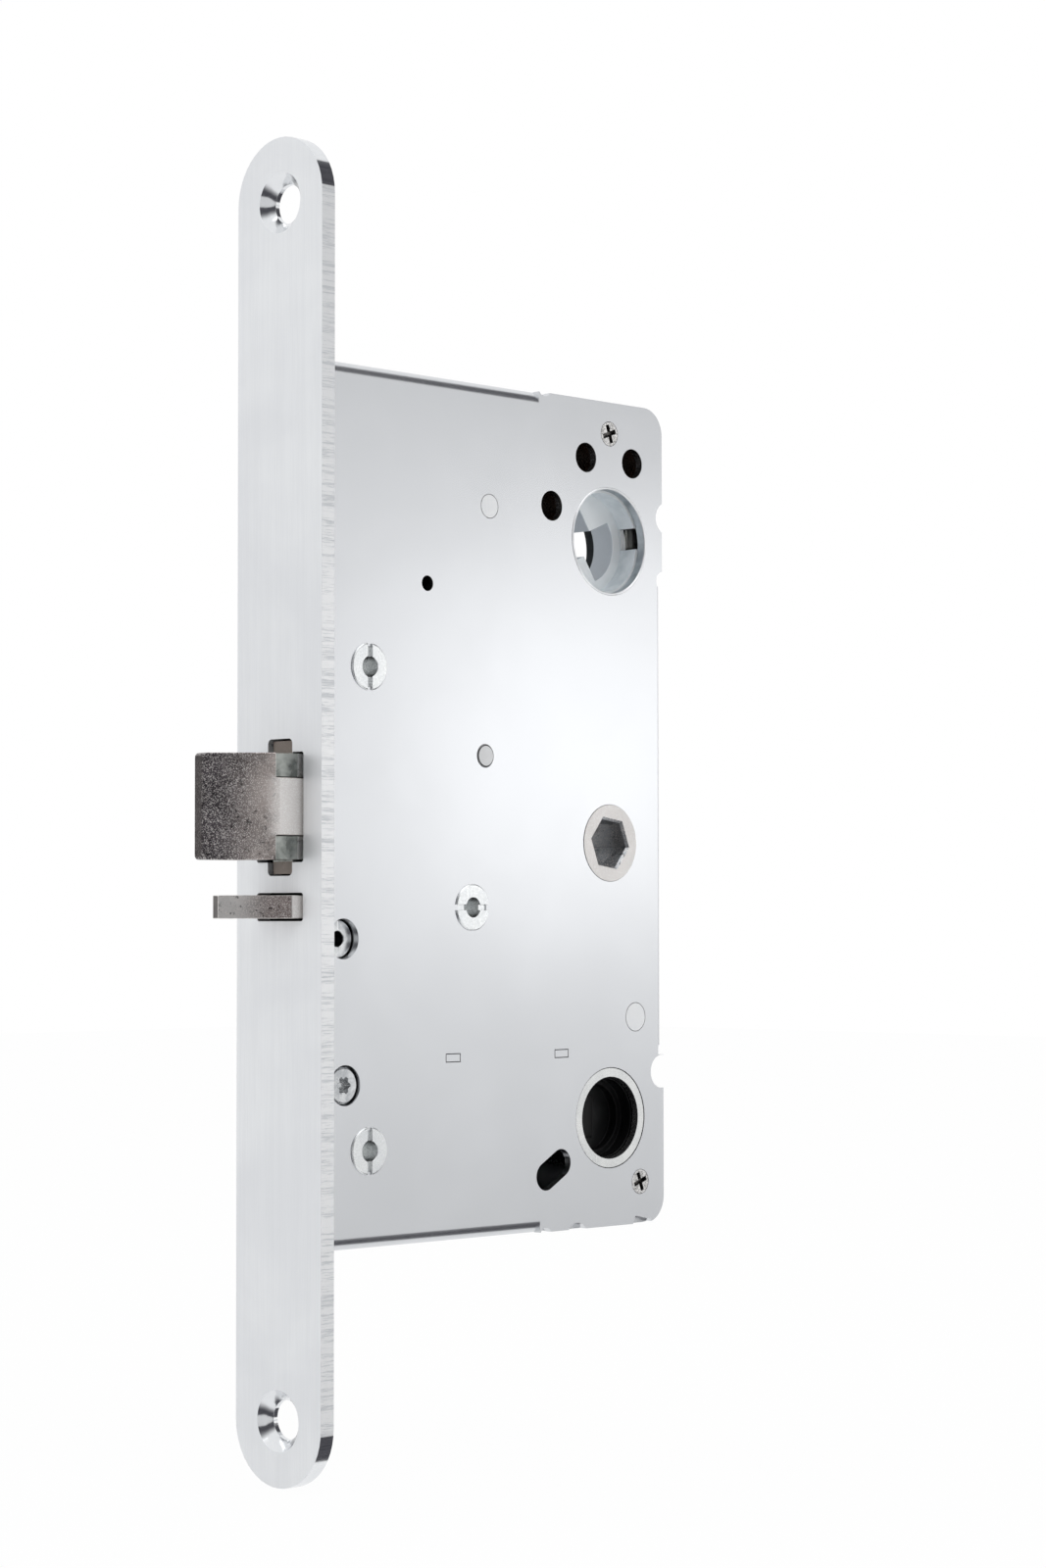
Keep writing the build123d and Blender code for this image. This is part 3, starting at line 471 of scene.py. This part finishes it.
def sintered_finish(name, tip_x, tip_tone, base_x, base_tone, patch_share, highlight_fade_start):
    material, tree, shader, place = start_finish(name, 1.0)
    grit = use_group(tree, speckle, Vector=place, Scale=grain_scale)
    patches = cloud_share(tree, place, 150.0)
    axes = split_axes(tree, place)
    facing = facing_axes(tree)
    # Painted reflection: the tone drifts from tip_tone at tip_x to base_tone at base_x along the bolt.
    drift = blend_colour(tree, ramp(tree, axes["X"], tip_x * MM, base_x * MM), tip_tone, base_tone)
    body = blend_colour(tree, ramp(tree, patches, 0, 1, 0, patch_share), drift, grey(64, 60, 62))
    flecked = blend_colour(tree, ramp(tree, grit["Flecks"], 0, 1, 0, 0.9), body, grey(246, 240, 236))
    pored = blend_colour(tree, ramp(tree, grit["Pores"], 0, 1, 0, 0.7), flecked, grey(32, 30, 30))

    # Painted highlight: the side faces, and on the latch the bevel near the band between the prongs, are
    # painted nearly white; the side faces are also burnished.
    side_face = ramp(tree, calculate(tree, "ABSOLUTE", facing["Y"]), 0.80, 0.97)
    height = calculate(tree, "ABSOLUTE", axes["Z"])
    between = ramp(tree, height, prong_gap_edge, prong_gap_edge - prong_gap_fade)
    near_band = ramp(tree, axes["X"], highlight_fade_start * MM, (highlight_fade_start + highlight_fade_length) * MM, 0, 0.8)
    rubbed_and_highlit = calculate(tree, "MAXIMUM", side_face, calculate(tree, "MULTIPLY", between, near_band))
    bright = blend_colour(tree, ramp(tree, grit["Flecks"], 0, 1, 0.3, 1), grey(232, 226, 222),
                          grey(255, 253, 250))
    flat = blend_colour(tree, rubbed_and_highlit, pored, bright)
    # Painted shade: the tip face, which looks to the front, is painted dark.
    tip_shade = ramp(tree, calculate(tree, "MULTIPLY", facing["X"], -1.0), 0.85, 0.98, 0, 0.85)
    drive(tree, shader, blend_colour(tree, tip_shade, flat, grey(74, 70, 69)),
          ramp(tree, patches, 0, 1, 0.34, 0.46))
    tree.links.new(ramp(tree, rubbed_and_highlit, 0, 1, 1.0, 0.2), shader.inputs["Metallic"])
    bump(tree, shader, grit["Height"], 0.30, 0.03 * MM)
    return material


follower_tone = grey(186, 190, 194)
latch_finish = sintered_finish("latch_sinter", -13, grey(100, 94, 97), -3, grey(232, 218, 210), 0.55, -7)
trigger_finish = sintered_finish("trigger_sinter", -9.5, grey(255, 252, 248), -3.5, grey(168, 154, 150), 0.25,
                                 no_highlight_fade)
follower_finish = sintered_finish("follower_sinter", 60, follower_tone, 90, follower_tone, 0.55, no_highlight_fade)

# %% [markdown]
# The other finishes are plainer metals, bright wire, brown lacquer and black plastic, so one recipe with
# its own colours and roughness serves them all.

# %% Plainer finishes
fine_ratio = 12


def clouded_finish(name, dark, light, rough_low, rough_high, scale, metallic=1.0):
    material, tree, shader, place = start_finish(name, metallic)
    fine = cloud_share(tree, place, fine_ratio * scale)
    marks = use_group(tree, scratches, Vector=place)["Scratches"]
    tone = blend_colour(tree, cloud_share(tree, place, scale), dark, light)
    drive(tree, shader, blend_colour(tree, marks, tone, light), ramp(tree, fine, 0, 1, rough_low, rough_high))
    bump(tree, shader, fine, 0.1, 0.02 * MM)
    return material


ring_finish = clouded_finish("bright_ring", grey(226, 227, 226), grey(240, 240, 238), 0.22, 0.30, 150)
pin_finish = clouded_finish("dull_pin", grey(236, 236, 236), grey(244, 244, 244), 0.50, 0.56, 200)
post_finish = clouded_finish("turned_zinc", grey(234, 236, 237), grey(246, 247, 246), 0.26, 0.34, 200)
screw_finish = clouded_finish("bright_screw", grey(188, 190, 192), grey(224, 225, 225), 0.16, 0.26, 500)
inner_finish = clouded_finish("punched_steel", grey(132, 134, 136), grey(166, 167, 168), 0.34, 0.46, 120)
rivet_finish = clouded_finish("bright_rivet", grey(246, 247, 248), grey(252, 252, 252), 0.40, 0.46, 200)
sleeve_finish = clouded_finish("brown_lacquer", grey(30, 20, 15), grey(42, 30, 24), 0.2, 0.3, 200, 0.0)
gap_shadow = clouded_finish("gap_shadow", grey(38, 38, 40), grey(64, 64, 66), 0.5, 0.6, 300)
# Painted highlight: worn edges, painted light.
worn_edge_highlight = clouded_finish("worn_edge_highlight", grey(188, 184, 180), grey(232, 228, 224), 0.34, 0.44, 900)
wire_finish = clouded_finish("drawn_wire", grey(206, 206, 198), grey(236, 236, 230), 0.16, 0.26, 400)
plastic_finish = clouded_finish("black_plastic", grey(8, 8, 9), grey(15, 15, 16), 0.32, 0.44, 300, 0.0)

plastic_finish.node_tree.nodes["Principled BSDF"].inputs["Specular IOR Level"].default_value = 0.25

# %% [markdown]
# The two cover screws are bright cross-recess screws. The recess, which lies deeper than the head's face,
# is painted dark, painted shade, and the punched metal round it is lumpy.

# %% Cross screw finish
recess_start = -7.42 * MM
recess_fade = 0.04 * MM

cross_finish, tree, shader, place = start_finish("cross_screw", 1.0)
lumps = cloud_share(tree, place, 1500.0)
# Painted shade: everything deeper than the head's face is painted dark.
recess = ramp(tree, split_axes(tree, place)["Y"], recess_start, recess_start + recess_fade)
head = blend_colour(tree, lumps, grey(186, 184, 181), grey(248, 246, 244))
drive(tree, shader, blend_colour(tree, recess, head, grey(112, 109, 106)), ramp(tree, lumps, 0, 1, 0.2, 0.35))
bump(tree, shader, lumps, 0.5, 0.08 * MM)

# %% [markdown]
# The yoke is a smoother, greenish steel. Its ears sit back in the strip's slot and are painted a darker
# brown there, painted shade. Where the side faces enter the slot, a narrow line is burnished and painted
# bright, a painted highlight.

# %% Yoke finish
ear_start = 9.3 * MM
ear_fade = 0.2 * MM
slot_line_start = -0.75 * MM
slot_line_fade = 0.2 * MM

yoke_finish, tree, shader, place = start_finish("smooth_yoke_steel", 1.0)
patches = cloud_share(tree, place, 420.0)
axes = split_axes(tree, place)
# Painted shade: the ears, sitting back in the slot, are painted a darker brown.
ear = ramp(tree, calculate(tree, "ABSOLUTE", axes["Z"]), ear_start, ear_start + ear_fade)
to_strip = ramp(tree, axes["X"], slot_line_start, slot_line_start + slot_line_fade)
side_face = ramp(tree, calculate(tree, "ABSOLUTE", facing_axes(tree)["Y"]), 0.80, 0.97)
prong = blend_colour(tree, patches, grey(122, 126, 122), grey(182, 185, 180))
eared = blend_colour(tree, ear, prong, grey(118, 110, 104))
# Painted highlight: the side faces inside the slot are painted nearly white, as well as burnished.
rubbed_and_highlit = calculate(tree, "MULTIPLY", to_strip, side_face)
drive(tree, shader, blend_colour(tree, rubbed_and_highlit, eared, grey(250, 250, 248)),
      ramp(tree, patches, 0, 1, 0.26, 0.38))

# %% [markdown]
# The key drum is a zinc casting. Its walls are dull and a little bluish, and painted darker deep inside,
# painted shade. The faces that look to the near side are painted near white, painted light falling in from
# that side, and the jambs of the side window are painted nearly black, painted shade.

# %% Casting finish
drum_axis = (76.5 * MM, 0, 51.9 * MM)
deep_start = -1.7 * MM
deep_fade = 0.4 * MM
jamb_start = 9.42 * MM
jamb_fade = 0.08 * MM

casting_finish, tree, shader, place = start_finish("zinc_casting", 0.3)
fine = cloud_share(tree, place, 2400.0)
axes = split_axes(tree, place)
# Painted light: the faces that look to the near side are painted near white.
turned = ramp(tree, calculate(tree, "MULTIPLY", facing_axes(tree)["Y"], -1.0), 0.7, 0.95)
# Painted shade: deeper than deep_start the walls are painted darker.
deep = ramp(tree, axes["Y"], deep_start, deep_start + deep_fade)
drum_place = add_node(tree, "ShaderNodeCombineXYZ", {"X": axes["X"], "Y": 0.0, "Z": axes["Z"]}).outputs[0]
# Painted shade: beyond jamb_start from the drum's axis, the window's jambs are painted nearly black.
jamb = ramp(tree, measure(tree, "DISTANCE", drum_place, drum_axis), jamb_start, jamb_start + jamb_fade)
wall = blend_colour(tree, cloud_share(tree, place, 260.0), grey(222, 229, 233), grey(244, 249, 252))
wall = blend_colour(tree, deep, wall, grey(192, 198, 204))
wall = blend_colour(tree, jamb, wall, grey(30, 31, 32))
drive(tree, shader, blend_colour(tree, turned, wall, grey(244, 247, 248)), ramp(tree, fine, 0, 1, 0.42, 0.54))
bump(tree, shader, fine, 0.3, 0.02 * MM)

# %% [markdown]
# The thin collars have a bright rolled lip, and a bore that is dull and painted darker, painted shade. From
# the photographer's place the far one is only a dark band behind the drum's floor, so its bore is painted
# nearly black, painted shade.

# %% Collar finishes


def collar_finish_of(name, bore_dark, bore_light):
    material, tree, shader, place = start_finish(name, 1.0)
    patches = cloud_share(tree, place, 420.0)
    lip = ramp(tree, calculate(tree, "ABSOLUTE", facing_axes(tree)["Y"]), 0.15, 0.6)
    # Painted shade: the bore is painted darker than the lip.
    bore = blend_colour(tree, patches, bore_dark, bore_light)
    drive(tree, shader, blend_colour(tree, lip, bore, grey(238, 239, 240)),
          ramp(tree, patches, 0, 1, 0.28, 0.40))
    return material


near_collar = collar_finish_of("near_collar", grey(160, 167, 172), grey(196, 203, 208))
# Painted shade: the far collar's bore is painted nearly black.
far_collar_painted_dark = collar_finish_of("far_collar_painted_dark", grey(26, 28, 30), grey(40, 42, 44))

# %% [markdown]
# ## The frame's own pieces
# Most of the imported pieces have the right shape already, and only need their finish. Each takes the finish
# of its material slot, unless it has one of its own.

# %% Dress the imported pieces
finish_of = {"forend_steel": forend_finish, "zinc_plate": sheet_finish, "nickel_rings": ring_finish,
             "post_steel": post_finish, "screw_steel": screw_finish, "sintered_steel": latch_finish,
             "yoke_steel": yoke_finish, "inner_steel": inner_finish, "die_casting": casting_finish,
             "spring_steel": wire_finish, "black_plastic": plastic_finish}
own_finish = {"trigger_bolt": trigger_finish, "follower": follower_finish, "upper_collar": near_collar,
              "upper_collar_far": far_collar_painted_dark, "case_pan": pan_finish, "lever_pin": pin_finish,
              "case_rivets": rivet_finish, "cover_screws": cross_finish, "fixing_sleeves": sleeve_finish}
slot_of = {part["node"]: part["material_slot"] for part in frame["record"]["subparts"]}
used = set()
for node, slot in slot_of.items():
    finish = own_finish.get(node, finish_of[slot])
    mesh = frame["nodes"][node].data
    mesh.materials.clear()
    mesh.materials.append(finish)
    used.add(finish.name)
print(len(slot_of), "pieces dressed in", len(used), "finishes")

# %% [markdown]
# ## Broken edges
# No real edge is perfectly sharp: each catches a thin line of light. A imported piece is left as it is, so a
# copy of it is made, its loose triangles are merged into faces, and a narrow bevel breaks its sharp edges.
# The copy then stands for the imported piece.

# %% Copies with broken edges
body_of = {node: body for body, nodes in frame["record"]["behaviour"]["bodies"].items() for node in nodes}
same_point = 0.002 * MM
same_plane = math.radians(0.5)
sharp_angle = math.radians(35)


def break_edges(node, width, edge_finish=None):
    bpy.ops.object.select_all(action="DESELECT")
    source = frame["nodes"][node]
    source.select_set(True)
    bpy.context.view_layer.objects.active = source
    bpy.ops.object.duplicate()
    piece = bpy.context.object
    bpy.ops.object.parent_clear(type="CLEAR_KEEP_TRANSFORM")
    piece.name = node + "_edged"
    bpy.ops.object.mode_set(mode="EDIT")
    bpy.ops.mesh.select_all(action="SELECT")
    bpy.ops.mesh.customdata_custom_splitnormals_clear()
    bpy.ops.mesh.remove_doubles(threshold=same_point)
    bpy.ops.mesh.dissolve_limited(angle_limit=same_plane)
    bpy.ops.object.mode_set(mode="OBJECT")
    bpy.ops.object.shade_smooth_by_angle(angle=sharp_angle)
    edge = piece.modifiers.new("broken_edge", "BEVEL")
    edge.width = width * MM
    edge.segments = 2
    edge.limit_method = "ANGLE"
    edge.angle_limit = sharp_angle
    if edge_finish:
        piece.data.materials.append(edge_finish)
        edge.material = 1
    level = piece.modifiers.new("flat_faces_stay_flat", "WEIGHTED_NORMAL")
    level.keep_sharp = True
    bpy.ops.object.modifier_apply(modifier=edge.name)
    bpy.ops.object.modifier_apply(modifier=level.name)
    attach(piece, body_of[node])
    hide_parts(node)
    print(piece.name, len(piece.data.polygons), "faces")


edge_widths = {"forend": 0.15, "cover_plate": 0.12, "case_pan": 0.12, "latch_head": 0.4, "latch_yoke": 0.2,
               "follower": 0.12, "key_drum": 0.12, "lock_hub": 0.12, "upper_collar": 0.12, "upper_post": 0.1,
               "middle_post": 0.1, "lower_post": 0.1, "forend_bush": 0.12, "forend_screw": 0.12}
for node, width in edge_widths.items():
    break_edges(node, width)

# %% [markdown]
# On the trigger the broken edges are worn, and painted brighter as a painted highlight. Round the rivets,
# the screws, the pin, the staked tabs and the lower ring the narrow gap to the plate is dark, so there the
# bevel's own faces get a shadow finish.

# %% Worn and shadowed edges
shadow_widths = {"case_rivets": 0.2, "cover_screws": 0.22, "lever_pin": 0.12, "guide_shelf": 0.16,
                 "lower_ring": 0.16}
# Painted highlight: the trigger's broken edges take the worn, lighter finish.
break_edges("trigger_bolt", 0.2, worn_edge_highlight)
for node, width in shadow_widths.items():
    break_edges(node, width, gap_shadow)

# %% [markdown]
# ## Springs
# A coil spring is one wire wound into a helix. A small circle stands beside the axis and the Screw modifier
# winds it up. The two cut ends are then filled. Three of the springs are squashed by the piece that pushes on
# them, and each of them gets a mesh of its own. The lever's close coil sits on the lever's pin and keeps its
# length.

# %% Wind a spring
wire_radius = 0.35
wire_sides = 10
steps_per_turn = 20
wire_smooth_angle = math.radians(40)


def wind_spring(name, node, foot, turn, radius, turns, length):
    bpy.ops.object.select_all(action="DESELECT")
    bpy.ops.mesh.primitive_circle_add(vertices=wire_sides, radius=wire_radius * MM,
                                      location=(radius * MM, 0, wire_radius * MM),
                                      rotation=(math.pi / 2, 0, 0))
    spring = bpy.context.object
    spring.name = name
    bpy.ops.object.transform_apply(location=True, rotation=True, scale=True)
    winding = spring.modifiers.new("winding", "SCREW")
    winding.angle = 2 * math.pi * turns
    winding.screw_offset = (length - 2 * wire_radius) * MM
    winding.steps = winding.render_steps = steps_per_turn * turns
    bpy.ops.object.modifier_apply(modifier=winding.name)
    bpy.ops.object.mode_set(mode="EDIT")
    bpy.ops.mesh.select_all(action="SELECT")
    bpy.ops.mesh.fill_holes(sides=0)
    bpy.ops.mesh.normals_make_consistent(inside=False)
    bpy.ops.object.mode_set(mode="OBJECT")
    bpy.ops.object.shade_smooth_by_angle(angle=wire_smooth_angle)
    spring.rotation_euler = turn
    spring.location = Vector(foot) * MM
    bpy.ops.object.transform_apply(location=True, rotation=True, scale=True)
    spring.data.materials.append(wire_finish)
    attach(spring, body_of[node])
    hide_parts(node)
    print(name, len(spring.data.polygons), "faces,", round(length, 1), "mm long")
    return spring


along_x = (0, math.pi / 2, 0)
along_y = (-math.pi / 2, 0, 0)
upright = (0, 0, 0)
latch_coil = wind_spring("latch_coil", "latch_spring", (16.05, 0, -6.7), along_x, 1.85, 7, 23.9)
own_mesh(latch_coil)
trigger_coil = wind_spring("trigger_coil", "trigger_spring", (12.05, 0, -17.3), along_x, 1.5, 8, 24.2)
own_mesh(trigger_coil)
follower_coil = wind_spring("follower_coil", "follower_spring", (87.3, 0, -30.45), upright, 1.85, 7, 25.1)
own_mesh(follower_coil)
wind_spring("lever_coil", "lever_spring", (43.3, -2.85, 10.2), along_y, 2.8, 3, 3.0)
